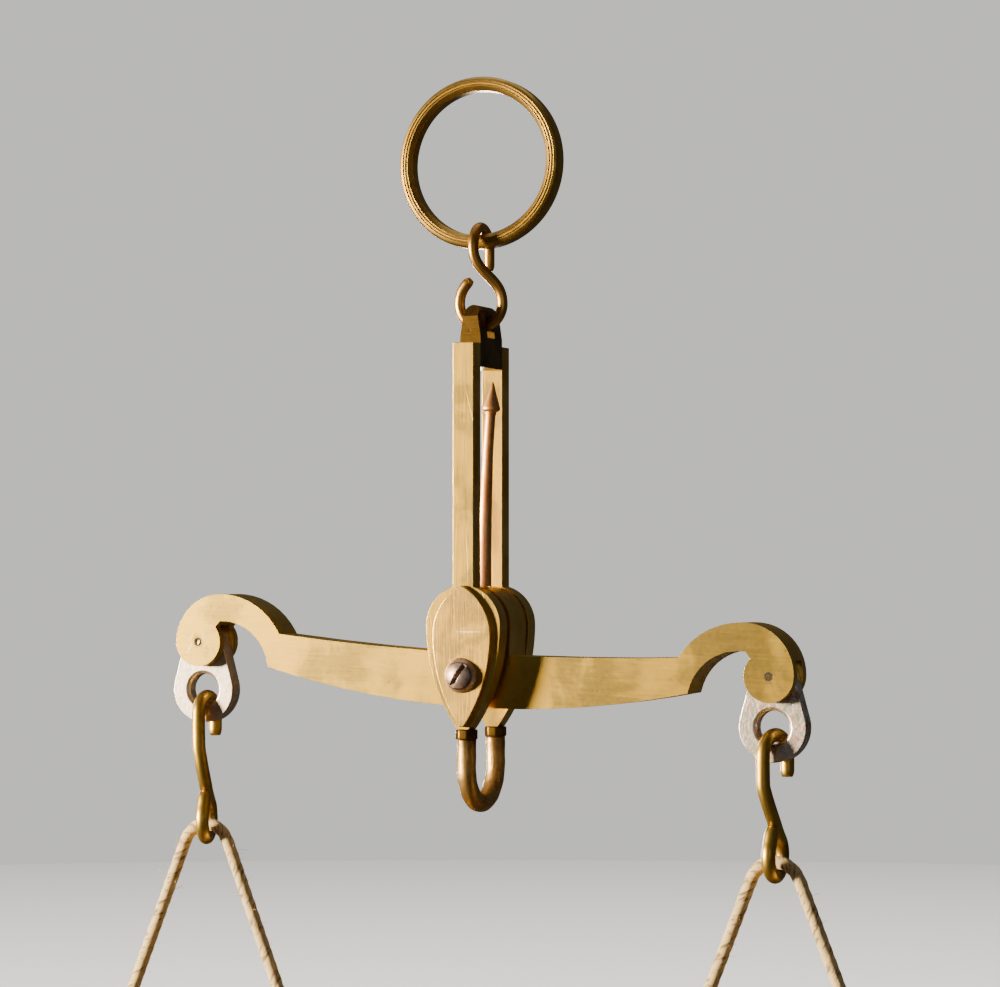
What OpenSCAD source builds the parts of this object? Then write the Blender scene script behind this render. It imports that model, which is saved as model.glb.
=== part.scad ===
// Small hand-held brass balance: ring, S-hook, fork, swan-neck beam, shackles, hooks, corded pans.
// Millimetres, +Z up. The origin is the top of the ring's inside, where the scale hangs.

/* [Suspension ring] */
// Inner radius of the ring
ring_inner_r = 11.75; // [10:0.25:15]
// Radial thickness of the ring's bar
ring_bar = 2.3; // [2:0.1:2.8]
// Width of the ring's bar along its axis
ring_width = 3.4; // [2.8:0.1:3.6]
// Chamfer on the ring's four edges
ring_chamfer = 0.7; // [0.4:0.05:0.8]

/* [S-hook] */
// Wire diameter of the S-hook
s_wire = 1.75; // [1.4:0.05:2]
// Room in the upper loop round the ring's bar
s_upper_room = 0.65; // [0.5:0.05:1.2]
// Radius of the lower loop, to the wire's middle
s_lower_r = 3.725; // [3.4:0.025:4.4]
// Height between the middles of the two loops
s_height = 9.1; // [8.5:0.1:12]

/* [Fork] */
// Thickness of the bar that the cheeks and the arch are filed from
bar_t = 3.05; // [2.8:0.05:3.6]
// Width of a cheek's bar
cheek_width = 3.6; // [3:0.1:4.4]
// Height from the arch's bridge down to the knife edge
fork_length = 55.1; // [50:0.5:70]
// Radius of the round bridge that hangs in the S-hook
bridge_r = 1.2; // [1:0.05:1.3]
// Drop from the bridge's middle to the floor of the arch's window
window_drop = 4.1; // [3.9:0.1:4.6]
// Drop from the bridge's middle to the tops of the cheeks
cheek_drop = 5.2; // [4.8:0.1:6]
// Drop from the bridge's middle to the underside of the arch's block
block_drop = 9.0; // [8:0.1:9.5]
// Half width of the shield at the foot of a cheek
shield_half = 6.45; // [6.2:0.05:7]
// Height of the shield's widest place above the knife edge
shield_rise = 4.4; // [4:0.1:5]
// Drop from the knife edge to the cut-off tip of the shield
shield_tip_drop = 12.3; // [11.5:0.1:14]
// Half width of the cut-off tip
shield_tip_half = 1.0; // [0.9:0.05:1.4]

/* [Cover plates and screws] */
// Half width of a cover plate
cover_half = 5.05; // [4.6:0.05:5.4]
// Thickness of a cover plate
cover_t = 0.8; // [0.6:0.1:2]
// Height of the cover's widest place above the knife edge
cover_rise = 2.85; // [2.5:0.05:3.2]
// Height of the cover's pointed top above its widest place
cover_up = 8.0; // [7:0.1:8.5]
// Drop from the cover's widest place to its tip
cover_down = 14.7; // [13.5:0.1:15]
// Drop from the knife edge to the middle of the screws
screw_drop = 3.6; // [3.4:0.1:4.4]
// Radius of a screw's domed head
screw_head_r = 2.85; // [2.4:0.05:3.2]
// Height of a screw's domed head
screw_head_h = 2.0; // [1.6:0.1:2.2]
// Width of a screw's slot
screw_slot = 0.8; // [0.5:0.05:1]
// Depth of a screw's slot
screw_slot_depth = 0.9; // [0.5:0.05:1.2]
// Radius of a screw's shank
screw_shank_r = 1.2; // [1:0.05:1.3]
// Turn of the front screw's slot from level
screw_turn = 123; // [0:1:180]

/* [Stirrup bow] */
// Diameter of the bow's rod
bow_rod = 3.2; // [2.6:0.1:3.6]
// Straight length of each leg below its collar
bow_leg = 4.4; // [3:0.1:8]
// Width of an eight-sided collar across its flats
collar_side = 3.4; // [3.2:0.1:4]
// Height of a collar
collar_h = 1.6; // [1.2:0.1:2.4]

/* [Beam] */
// Length of each arm, from the knife edge to the end pin
arm = 50; // [48:0.5:60]
// Thickness of the beam
beam_t = 6.8; // [6:0.1:7.4]
// Depth of the beam's lower edge below the pins' line, at the middle
beam_depth = 7.9; // [7:0.1:9.5]
// Drop from the knife edge to the line through the end pins
load_drop = 1.0; // [0.6:0.1:1.4]
// Tilt of the beam as it hangs, right end down
tilt = 2.7; // [0:0.1:4]
// Half width of the rounded boss in the middle of the beam
boss_half = 6.3; // [5.8:0.1:6.6]
// Radius of the round pad at each end
pad_r = 4.1; // [3.6:0.1:4.4]
// Radius of the curl over each pad
crown_r = 8.2; // [7.8:0.1:9]
// Width of the curled neck
neck_w = 4.5; // [3.8:0.1:5]

/* [Knife edge and pointer] */
// Height of the steel knife above its edge
knife_h = 2.2; // [1.8:0.1:2.3]
// Half thickness of the knife
knife_half = 0.7; // [0.5:0.05:0.8]
// Inner radius of the steel bushes
bush_r = 1.5; // [1.45:0.05:1.7]
// Wall of the steel bushes
bush_wall = 0.9; // [0.6:0.1:1]
// Radius of the pointer at its root
pointer_root_r = 1.2; // [0.9:0.05:1.4]
// Radius of the pointer under its arrow
pointer_top_r = 0.85; // [0.6:0.05:1]
// Gap between the pointer's tip and the arch's block
pointer_gap = 2.1; // [1.5:0.1:8]
// Length of the arrow
arrow_len = 5.4; // [3:0.1:6]
// Radius of the arrow
arrow_r = 1.55; // [1.2:0.05:2]

/* [Shackles and hooks] */
// Radius of an end pin
pin_r = 0.7; // [0.6:0.05:0.9]
// Thickness of a shackle
shackle_t = 3.0; // [2.6:0.1:3.2]
// Half width of a shackle
shackle_half = 5.5; // [4.9:0.1:6]
// Drop from the end pin to the middle of a shackle's hole
hole_drop = 8.0; // [7.5:0.1:9]
// Radius of a shackle's hole
hole_r = 2.65; // [2.5:0.05:3]
// Wire diameter of the pan hooks
hook_wire = 2.2; // [1.8:0.05:2.4]
// Room in the left and right hooks' bends round the shackle's bar
bend_rooms = [0.2, 0.5];
// Radius of a hook's eye, to the wire's middle
eye_r = 3.25; // [3.2:0.05:3.8]
// Drop from the end pin to the middle of the left and right eyes
eye_drops = [29.7, 28.1];
// Turn of the left and right hooks' bends about the vertical
bend_turns = [0, 16];
// Turn of the left and right hooks' eyes about the vertical
eye_turns = [-14, 2];

/* [Pans and cords] */
// Width of a pan's rim outside the middles of its cord holes
pan_rim = 2.5; // [2.2:0.1:5]
// Width of a pan's rim inside the middles of its cord holes
pan_rim_inside = 2.95; // [2.5:0.05:4]
// Depth of a pan inside
pan_depth = 10; // [8:0.5:11]
// Thickness of a pan's sheet
pan_t = 0.9; // [0.6:0.1:1.2]
// Depth of the bowl's curve below the flat floor that cuts it
pan_floor_cut = 1; // [0.5:0.1:2]
// Diameter of a cord
cord_d = 2.1; // [1.6:0.1:2.2]
// Radius of a knot
knot_r = 2.2; // [1.8:0.1:2.6]
// Length of the cord's end below a knot
cord_tail = 3; // [1:0.5:6]

/* [Clearances] */
// Gap between hanging loops and the bars that they hang on
loop_gap = 0.35; // [0.35:0.05:0.6]
// Gap between the S-hook and the arch's round bridge
bridge_gap = 0.15; // [0.1:0.05:0.4]
// Gap under the knife edge
knife_gap = 0.03; // [0.02:0.01:0.1]
// Gap between the knife's ends and the cover plates
end_gap = 0.1; // [0.05:0.05:0.4]
// Radial clearance of an end pin in its shackle
pin_gap = 0.08; // [0.03:0.01:0.1]
// Radial clearance of a screw in its cover plate
screw_gap = 0.1; // [0.05:0.05:0.2]
// Clearance on each side of a shackle in the beam's slot
slot_gap = 0.1; // [0.05:0.05:0.3]
// Clearance round a shackle's top and a pad in the slot
slot_end_gap = 0.4; // [0.2:0.05:0.8]
// Radial clearance of a cord in its hole
cord_gap = 0.35; // [0.2:0.05:0.5]

/* [Hidden] */
$fn = 96;
SIDES = [-1, 1];
eps = 0.01;
// The ring's bar at the bottom, and the S-hook's two loops
ring_z = -ring_inner_r;
ring_bar_z = -2 * ring_inner_r - ring_bar / 2;
s_upper_r = s_wire / 2 + seat_r(ring_width / 2, ring_chamfer) + s_upper_room;
s_upper_z = -2 * ring_inner_r + loop_gap - (s_upper_r - s_wire / 2);
s_lower_z = s_upper_z - s_height;
// The bridge hangs in the lower loop
bridge_z = s_lower_z - s_lower_r + s_wire / 2 + bridge_gap + bridge_r;
knife_z = bridge_z - fork_length;
cheek_top_z = bridge_z - cheek_drop;
// The arch is three bar thicknesses deep, and a cheek stands on each side of it
arch_half = 1.5 * bar_t;
cheek_y = arch_half + bar_t / 2;
cheek_face = arch_half + bar_t;
shield_z = knife_z + shield_rise;
tip_z = knife_z - shield_tip_drop;
bush_z = knife_z + bush_r - knife_gap;
screw_z = knife_z - screw_drop;
bow_z = tip_z - collar_h - bow_leg;
tenon_r = 0.7;
tenon_rise = 1.4;
// Arch: depth of the shoulders' slope, and the width of the bridge's feet
shoulder = 1.4;
// Beam outline, measured from the line through the end pins
neck_back = 4.4;
neck_x = arm - neck_back;
neck_drop = 4.15;
neck_foot = 1.35;
neck_outer_r = crown_r + neck_drop;
// The neck's inner curve has its own middle, and leaves the crown one neck's width below its top
inner_back = 4.8;
inner_x = arm - inner_back;
inner_drop = 4.8;
inner_end = 84;
// Where the round pad meets the neck, as an angle about the end pin
pad_start = 140;
inner_r = crown_r - neck_w + inner_drop;
beam_rise = 0.8;
beam_flare = 1.3;
boss_rise = shield_rise + load_drop;
slot_r = pad_r + slot_end_gap;
slot_w = shackle_t + 2 * slot_gap;
pointer_h = fork_length - block_drop - pointer_gap;
socket_depth = 3;
arrow_neck = 0.5;
// Shackle: the round top about the pin, and the hole's countersinks
shackle_top_r = 3.4;
countersink = 0.5;
rim_z = -hole_drop - hole_r;
// Pan hooks, measured from the end pin
tail_z = -15.9;
shank_z = -17;
// Cord's route from the middle of the eye's lower wire to the right-hand hole: [x, z]
CORD = [[0, 2.3], [1.6, 2.0], [2.9, 1.1], [3.8, -0.2], [4.7, -2.4], [7.6, -9.8], [11.5, -19.7],
    [15.4, -29.6], [19.3, -39.5], [23.2, -49.4], [27.1, -59.3], [29.2, -64.7], [30.2, -67.4],
    [30.5, -69.0], [30.5, -70.4]];
cord_hole_x = last_of(CORD)[0];
cord_end_z = last_of(CORD)[1];
cord_hole_r = cord_d / 2 + cord_gap;
// Pan: the bowl's edge, and the sphere that its inside belongs to
pan_r = cord_hole_x + pan_rim;
bowl_r = cord_hole_x - pan_rim_inside;
bowl_depth = pan_depth + pan_floor_cut;
pan_sphere = (bowl_r * bowl_r + bowl_depth * bowl_depth) / (2 * bowl_depth);

// Least inside radius of a loop that hangs on a bar with cut corners
function seat_r(half, cut) = max(
    (pow(half - cut, 2) + pow(loop_gap, 2)) / (2 * loop_gap),
    (pow(half, 2) + pow(loop_gap + cut, 2)) / (2 * (loop_gap + cut)));

// Points and frames for bent wire and cord
function unit(v) = v / norm(v);
function last(p) = len(p) - 1;
function last_of(p) = p[last(p)];
function along(p, i) = unit(p[min(i + 1, last(p))] - p[max(i - 1, 0)]);
function carried(n, t) = unit(n - (n * t) * t);
function normals(p, n, i = 0) =
    i > last(p) ? [] : let (m = carried(n, along(p, i))) concat([m], normals(p, m, i + 1));
function arc(x, y, r, from, to, steps) =
    [for (i = [0:steps]) let (a = from + (to - from) * i / steps) [x + r * cos(a), y + r * sin(a)]];
function bezier(a, b, c, d, steps) =
    [for (i = [1:steps - 1]) let (t = i / steps, s = 1 - t)
        s * s * s * a + 3 * s * s * t * b + 3 * s * t * t * c + t * t * t * d];
function smooth(a, b, c, d, t) = 0.5 * (2 * b + (c - a) * t + (2 * a - 5 * b + 4 * c - d) * t * t
    + (3 * b - a - 3 * c + d) * t * t * t);
function spline(p, steps) = concat(
    [for (i = [0:last(p) - 1]) for (j = [0:steps - 1])
        smooth(p[max(i - 1, 0)], p[i], p[i + 1], p[min(i + 2, last(p))], j / steps)],
    [last_of(p)]);

// A round tube swept along points
module tube(p, r, sides, first) {
    ns = normals(p, first);
    points = [for (i = [0:last(p)]) let (t = along(p, i), u = ns[i], v = cross(t, u))
        for (k = [0:sides - 1]) p[i] + r * (cos(360 * k / sides) * u + sin(360 * k / sides) * v)];
    walls = [for (i = [0:last(p) - 1]) for (k = [0:sides - 1])
        let (a = i * sides + k, b = i * sides + (k + 1) % sides)
            each [[a, a + sides, b + sides], [a, b + sides, b]]];
    caps = [[for (k = [0:sides - 1]) k], [for (k = [sides - 1:-1:0]) last(p) * sides + k]];
    polyhedron(points, concat(walls, caps), convexity = 6);
}

// Stands an outline drawn in X and Z upright, centred on Y
module upright(thickness) {
    rotate([90, 0, 0]) linear_extrude(thickness, center = true) children();
}

// A rod along Y
module cross_rod(r, length) {
    rotate([90, 0, 0]) cylinder(r = r, h = length, center = true);
}

// Leaf outline: pointed or round above its widest line, tapering to a blunt tip below it
module leaf(half, up, down, tip_half) {
    r_up = (half * half + up * up) / (2 * half);
    e = half - tip_half;
    r_down = (e * e + down * down) / (2 * e);
    intersection() {
        for_both(half - r_up) circle(r = r_up);
        translate([-half, 0]) square([2 * half, up]);
    }
    intersection() {
        for_both(half - r_down) circle(r = r_down);
        translate([-half, -down]) square([2 * half, down]);
    }
}

// What two mirrored copies share
module for_both(x) {
    intersection() {
        translate([x, 0]) children();
        translate([-x, 0]) children();
    }
}

// Suspension ring, with chamfered edges
module ring() {
    c = ring_chamfer;
    w = ring_width / 2;
    color("#b5813f") translate([0, 0, ring_z]) rotate([90, 0, 0]) rotate_extrude()
        translate([ring_inner_r, 0]) polygon([[0, -w + c], [c, -w], [ring_bar - c, -w], [ring_bar, -w + c],
            [ring_bar, w - c], [ring_bar - c, w], [c, w], [0, w - c]]);
}

// S-hook: the upper loop lies across the ring, and the lower loop is a quarter turn round
module s_hook() {
    tip_turn = -246.5;
    upper = [for (a = [0:15:180]) [0, s_upper_r * cos(a), s_upper_z + s_upper_r * sin(a)]];
    lower = [for (a = [0:-14.5:tip_turn]) let (flare = 0.5 * pow(max(0, -a - 150) / 82, 2))
        [(s_lower_r + flare) * cos(a), 0, s_lower_z + (s_lower_r + flare) * sin(a)]];
    crossing = bezier([0, -s_upper_r, s_upper_z], [0, -s_upper_r, s_upper_z - s_height / 2],
        [s_lower_r, 0, s_lower_z + s_height / 2], [s_lower_r, 0, s_lower_z], 10);
    color("#9a6a3a") tube(concat([[0, s_upper_r, s_upper_z - 3.4], [0, s_upper_r, s_upper_z - 1.7]],
        upper, crossing, lower), s_wire / 2, 14, [1, 0, 0]);
}

// Arch that joins the cheeks: a solid block, two legs and a round bridge between them
module suspension_arch() {
    depth = 2 * arch_half;
    color("#a9843f") difference() {
        intersection() {
            union() {
                translate([0, 0, bridge_z]) cross_rod(bridge_r, depth);
                translate([0, 0, bridge_z]) upright(depth) polygon([[-bridge_r, 0], [bridge_r, 0],
                    [cheek_width / 2, -window_drop], [cheek_width / 2, -block_drop],
                    [-cheek_width / 2, -block_drop], [-cheek_width / 2, -window_drop]]);
            }
            translate([0, 0, bridge_z]) rotate([90, 0, 90]) linear_extrude(cheek_width + 1, center = true)
                polygon([[-arch_half, -block_drop], [arch_half, -block_drop], [arch_half, -shoulder / 2],
                    [arch_half - shoulder, bridge_r + eps], [shoulder - arch_half, bridge_r + eps],
                    [-arch_half, -shoulder / 2]]);
        }
        difference() {
            translate([-cheek_width, -bar_t / 2, bridge_z - window_drop])
                cube([2 * cheek_width, bar_t, window_drop + bridge_r + 1]);
            translate([0, 0, bridge_z]) cross_rod(bridge_r, depth);
        }
    }
}

// A cheek: a square bar that widens into a shield, with the bush's seat and the screw's hole
module cheek(side) {
    color("#c2a050") translate([0, side * cheek_y, 0]) difference() {
        union() {
            translate([-cheek_width / 2, -bar_t / 2, shield_z])
                cube([cheek_width, bar_t, cheek_top_z - shield_z]);
            translate([0, 0, shield_z]) upright(bar_t)
                leaf(shield_half, shield_half, shield_z - tip_z, shield_tip_half);
        }
        translate([0, 0, bush_z]) cross_rod(bush_r + bush_wall, 2 * bar_t);
        translate([0, 0, screw_z]) cross_rod(screw_shank_r, 2 * bar_t);
        translate([0, 0, tip_z - eps]) cylinder(r = tenon_r, h = tenon_rise + eps);
    }
}

// Steel bush that the knife edge rests in
module bush(side) {
    color("#8d8a86") translate([0, side * cheek_y, bush_z]) difference() {
        cross_rod(bush_r + bush_wall, bar_t);
        cross_rod(bush_r, 2 * bar_t);
    }
}

// Leaf-shaped plate that closes a bush
module cover(side) {
    color("#c9a85a") translate([0, side * (cheek_face + cover_t / 2), 0]) difference() {
        translate([0, 0, knife_z + cover_rise]) upright(cover_t) leaf(cover_half, cover_up, cover_down, 0.4);
        translate([0, 0, screw_z]) cross_rod(screw_shank_r + screw_gap, 2 * cover_t);
    }
}

// Domed slotted screw that holds a cover plate
module cover_screw(side, turn) {
    r = (screw_head_r * screw_head_r + screw_head_h * screw_head_h) / (2 * screw_head_h);
    shank = cover_t + bar_t - 0.1;
    color("#8a7468") translate([0, side * (cheek_face + cover_t), screw_z]) rotate([90 * side, 0, 0])
        mirror([0, 0, 1]) difference() {
            union() {
                intersection() {
                    translate([0, 0, screw_head_h - r]) sphere(r = r);
                    cylinder(r = screw_head_r, h = screw_head_h + 1);
                }
                translate([0, 0, -shank]) cylinder(r = screw_shank_r, h = shank + eps);
            }
            rotate([0, 0, turn]) translate([-screw_head_r - 1, -screw_slot / 2, screw_head_h - screw_slot_depth])
                cube([2 * screw_head_r + 2, screw_slot, 2]);
        }
}

// Eight-sided collar between a shield's tip and the bow
module collar(side) {
    color("#a08048") translate([0, side * cheek_y, tip_z - collar_h]) difference() {
        rotate([0, 0, 22.5]) cylinder(d = collar_side / cos(22.5), h = collar_h, $fn = 8);
        translate([0, 0, -eps]) cylinder(r = tenon_r, h = collar_h + 1);
    }
}

// Stirrup bow under the beam, with a tenon up through each collar
module stirrup_bow() {
    color("#94713f") {
        translate([0, 0, bow_z]) rotate([0, 90, 0]) rotate([0, 0, -90]) rotate_extrude(angle = 180)
            translate([cheek_y, 0]) circle(d = bow_rod);
        for (side = SIDES) translate([0, side * cheek_y, bow_z]) {
            cylinder(d = bow_rod, h = bow_leg);
            cylinder(r = tenon_r, h = bow_leg + collar_h + tenon_rise);
        }
    }
}

// Places what is drawn from the knife edge into the hanging, tilted beam
module on_beam() {
    translate([0, 0, knife_z]) rotate([0, tilt, 0]) children();
}

// Right half of the beam's outline, from the middle of the lower edge round to the upper edge
function half_outline() = let (
        low_x = inner_x - sqrt(inner_r * inner_r - neck_foot * neck_foot),
        low_z = neck_foot - inner_drop,
        top_x = neck_x - sqrt(neck_outer_r * neck_outer_r - pow(neck_drop + beam_rise + beam_flare, 2)),
        top_z = beam_rise + beam_flare)
    concat(
        [for (i = [0:8]) let (x = low_x * i / 8) [x, -beam_depth + (low_z + beam_depth) * pow(x / low_x, 2)]],
        arc(inner_x, -inner_drop, inner_r, 169, inner_end, 12),
        arc(arm, 0, pad_r, pad_start, 360, 26),
        arc(arm + pad_r - crown_r, 0, crown_r, 3, 90, 14),
        arc(neck_x, -neck_drop, neck_outer_r, 93, acos((top_x - neck_x) / neck_outer_r) - 3, 8),
        [for (i = [8:-1:0]) let (x = top_x * i / 8) [x, beam_rise + beam_flare * pow(x / top_x, 2)]]);

// Beam with swan-neck ends, the boss, the two slots and the holes
module beam() {
    right = half_outline();
    left = [for (i = [last(right):-1:0]) [-right[i][0], right[i][1]]];
    color("#c8a85c") on_beam() difference() {
        upright(beam_t) translate([0, -load_drop]) {
            polygon(concat(right, left));
            translate([0, boss_rise]) circle(r = boss_half);
            translate([-boss_half, -1]) square([2 * boss_half, boss_rise + 1]);
        }
        for (side = SIDES) translate([side * arm, 0, -load_drop]) {
            cross_rod(slot_r, slot_w);
            cross_rod(pin_r, 2 * beam_t);
        }
        knife_prism(2 * beam_t);
        translate([0, 0, shield_rise + boss_half - socket_depth]) cylinder(r = pointer_root_r, h = 10);
    }
}

// The knife's section: an edge below and a flat back above
module knife_prism(length) {
    upright(length) polygon([[0, 0], [knife_half, 0.6 * knife_h], [knife_half, knife_h],
        [-knife_half, knife_h], [-knife_half, 0.6 * knife_h]]);
}

module knife_edge() {
    color("#7f7d7a") on_beam() knife_prism(2 * (cheek_face - end_gap));
}

// Tapered pointer, standing in a socket in the boss
module pointer() {
    root = shield_rise + boss_half;
    color("#8c5a33") on_beam() {
        translate([0, 0, root - socket_depth]) cylinder(r = pointer_root_r, h = socket_depth + eps);
        translate([0, 0, root]) cylinder(r1 = pointer_root_r, r2 = pointer_top_r,
            h = pointer_h - arrow_len - root);
    }
}

// Turned arrow on the pointer's end
module pointer_arrow() {
    color("#93633b") on_beam() translate([0, 0, pointer_h - arrow_len]) {
        cylinder(r = pointer_top_r + 0.15, h = arrow_neck + eps);
        translate([0, 0, arrow_neck]) cylinder(r1 = arrow_r, r2 = 0.12, h = arrow_len - arrow_neck);
    }
}

module end_pin(side) {
    color("#77746f") on_beam() translate([side * arm, 0, -load_drop]) cross_rod(pin_r, beam_t);
}

// Places what is drawn from an end pin under that pin, hanging plumb
module under_pin(side) {
    translate([side * arm * cos(tilt) - load_drop * sin(tilt), 0,
        knife_z - side * arm * sin(tilt) - load_drop * cos(tilt)]) children();
}

// Steel shackle: an egg-shaped plate with a pin bore and a countersunk hole
module shackle(side) {
    slope = asin((shackle_half - shackle_top_r) / hole_drop);
    color("#a39a92") under_pin(side) difference() {
        upright(shackle_t) {
            circle(r = shackle_top_r);
            translate([0, -hole_drop]) circle(r = shackle_half);
            polygon([[shackle_top_r * cos(slope), shackle_top_r * sin(slope)],
                [-shackle_top_r * cos(slope), shackle_top_r * sin(slope)],
                [-shackle_half * cos(slope), shackle_half * sin(slope) - hole_drop],
                [shackle_half * cos(slope), shackle_half * sin(slope) - hole_drop]]);
        }
        cross_rod(pin_r + pin_gap, 2 * shackle_t);
        translate([0, 0, -hole_drop]) {
            cross_rod(hole_r, 2 * shackle_t);
            for (face = SIDES) translate([0, face * (shackle_t / 2 + eps), 0]) rotate([90 * face, 0, 0])
                cylinder(r1 = hole_r + countersink + eps, r2 = hole_r, h = countersink + eps);
        }
    }
}

// Radius of a hook's bend, to the wire's middle: it clears the shackle's bar at the bend's turn
function bend_r(i) = hook_wire / 2 + bend_rooms[i] + seat_r(shackle_t / 2 / cos(bend_turns[i]), countersink);

// Route of a pan hook's wire, from its cut tail over the bend and down round the eye: [across, z]
function hook_route(eye_z, r) = let (start = 50, closed = -216, lead = [-3, 2.6],
        bend_z = rim_z + loop_gap - (r - hook_wire / 2))
    concat([[r, tail_z], [r, (tail_z + bend_z) / 2]],
        arc(0, bend_z, r, 0, 180, 12),
        [[-r, (bend_z + shank_z) / 2]],
        bezier([-r, shank_z + 1], [-r, shank_z - 5],
            [eye_r * cos(start), eye_z + eye_r * sin(start)] + lead,
            [eye_r * cos(start), eye_z + eye_r * sin(start)], 10),
        arc(0, eye_z, eye_r, start, closed, 20));

// The bend and the eye stand at different turns, and the shank twists from one to the other
function hook_turn(z, i) = let (t = min(1, max(0, (shank_z - z) / 7)))
    bend_turns[i] * (1 - t) + eye_turns[i] * t;

module hook(side, i) {
    route = hook_route(-eye_drops[i], bend_r(i));
    color("#b08d45") under_pin(side) tube([for (p = route) let (a = hook_turn(p[1], i))
        [p[0] * sin(a), p[0] * cos(a), p[1]]], hook_wire / 2, 14, [1, 0, 0]);
}

// Places what hangs in an eye, drawn from the middle of the eye's lower wire
module under_eye(side, i) {
    under_pin(side) translate([0, 0, -eye_drops[i] - eye_r]) children();
}

// Cord through the eye, with both ends down to the pan
module cord(side, i) {
    half = [for (p = CORD) [p[0], 0, p[1]]];
    other = [for (j = [last(CORD):-1:1]) [-CORD[j][0], 0, CORD[j][1]]];
    color("#e8d8b0") under_eye(side, i) tube(spline(concat(other, half), 2), cord_d / 2, 8, [0, 1, 0]);
}

// Knots under the pan's rim, each with the cord's short end
module knots(side, i) {
    sink = sqrt(knot_r * knot_r - cord_d * cord_d / 4);
    color("#e0cfa4") under_eye(side, i) for (end = SIDES) translate([end * cord_hole_x, 0, cord_end_z]) {
        difference() {
            translate([0, 0, -sink]) sphere(r = knot_r);
            cylinder(r = knot_r, h = knot_r);
        }
        translate([0, 0, -sink - knot_r - cord_tail]) cylinder(d = cord_d, h = cord_tail + 1);
    }
}

// Shallow dish with a flat floor and a flat rim that has two cord holes
module pan(side, i) {
    rise = pan_sphere - bowl_depth;
    color("#c4a052") under_eye(side, i) translate([0, 0, cord_end_z + pan_t]) difference() {
        rotate_extrude($fn = 180) difference() {
            union() {
                intersection() {
                    translate([0, rise]) circle(r = pan_sphere + pan_t);
                    translate([0, -pan_depth - pan_t]) square([pan_r, pan_depth + pan_t]);
                }
                translate([0, -pan_t]) square([pan_r, pan_t]);
            }
            intersection() {
                translate([0, rise]) circle(r = pan_sphere);
                translate([-eps, -pan_depth]) square([pan_r, pan_depth + 1]);
            }
        }
        for (end = SIDES) translate([end * cord_hole_x, 0, 0])
            cylinder(r = cord_hole_r, h = 4 * pan_t, center = true);
    }
}

ring();
s_hook();
suspension_arch();
cheek(-1);  // front_cheek
cheek(1);  // rear_cheek
bush(-1);  // front_bush
bush(1);  // rear_bush
cover(-1);  // front_cover
cover(1);  // rear_cover
cover_screw(-1, screw_turn);  // front_screw
cover_screw(1, 12);  // rear_screw
collar(-1);  // front_collar
collar(1);  // rear_collar
stirrup_bow();
beam();
knife_edge();
pointer();
pointer_arrow();
end_pin(-1);  // left_end_pin
end_pin(1);  // right_end_pin
shackle(-1);  // left_shackle
shackle(1);  // right_shackle
hook(-1, 0);  // left_hook
hook(1, 1);  // right_hook
cord(-1, 0);  // left_cord
cord(1, 1);  // right_cord
knots(-1, 0);  // left_knots
knots(1, 1);  // right_knots
pan(-1, 0);  // left_pan
pan(1, 1);  // right_pan
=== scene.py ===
# A small hand-held brass balance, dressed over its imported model.
import math
import random

import bmesh
import bpy
from mathutils import Matrix, Vector


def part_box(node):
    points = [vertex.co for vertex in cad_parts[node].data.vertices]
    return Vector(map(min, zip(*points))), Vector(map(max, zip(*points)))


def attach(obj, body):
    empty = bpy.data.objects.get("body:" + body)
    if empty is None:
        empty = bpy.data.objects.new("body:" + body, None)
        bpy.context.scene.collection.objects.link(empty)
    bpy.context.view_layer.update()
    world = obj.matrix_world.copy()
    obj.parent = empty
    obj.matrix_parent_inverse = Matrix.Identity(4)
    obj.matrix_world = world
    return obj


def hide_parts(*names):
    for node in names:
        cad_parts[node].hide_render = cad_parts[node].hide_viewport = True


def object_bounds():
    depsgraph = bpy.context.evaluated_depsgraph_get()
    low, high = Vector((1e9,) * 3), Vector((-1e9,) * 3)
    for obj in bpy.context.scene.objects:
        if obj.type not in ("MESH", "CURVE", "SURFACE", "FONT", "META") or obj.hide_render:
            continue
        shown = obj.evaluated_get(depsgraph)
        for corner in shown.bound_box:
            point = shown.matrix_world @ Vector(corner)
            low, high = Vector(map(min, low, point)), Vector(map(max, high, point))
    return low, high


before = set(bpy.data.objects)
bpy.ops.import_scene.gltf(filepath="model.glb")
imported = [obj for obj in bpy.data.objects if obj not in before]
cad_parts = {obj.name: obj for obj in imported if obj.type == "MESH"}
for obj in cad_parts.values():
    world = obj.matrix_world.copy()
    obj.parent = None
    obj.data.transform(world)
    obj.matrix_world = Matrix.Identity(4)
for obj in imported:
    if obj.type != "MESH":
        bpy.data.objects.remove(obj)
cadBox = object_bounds()
mm = 0.001

# ---- camera, floor and light ----
studio = {
    "azimuth": 22.7,  # degrees round from the front
    "distance": 530,  # mm from the hanging line
    "height": -79.7,  # mm, about level with the beam
    "pitch": 1.52,  # degrees up
    "pan": -0.33,  # degrees
    "lens": 117.3,
    "sensor": 36,
    "floorDrop": 30,  # mm below the knots' ends, clear of the pans at every tilt
    "floorReach": 1300,  # radius of the round table
    "floorSides": 128,
    "floorColour": "#e2dfda",
    "toothScale": 900.0,  # the paper's tooth is about 1.1 mm across
    "toothDepth": 0.1,  # mm
    "paperColour": "#dcdbd8",  # pale backdrop that the camera sees
    "roomColour": "#d8d4cc",  # dim room that the metal reflects
    "roomStrength": 0.075,
}


def linear(hexColour):
    parts = [int(hexColour[i : i + 2], 16) / 255 for i in (1, 3, 5)]
    return [c / 12.92 if c <= 0.04045 else ((c + 0.055) / 1.055) ** 2.4 for c in parts] + [1]


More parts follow.
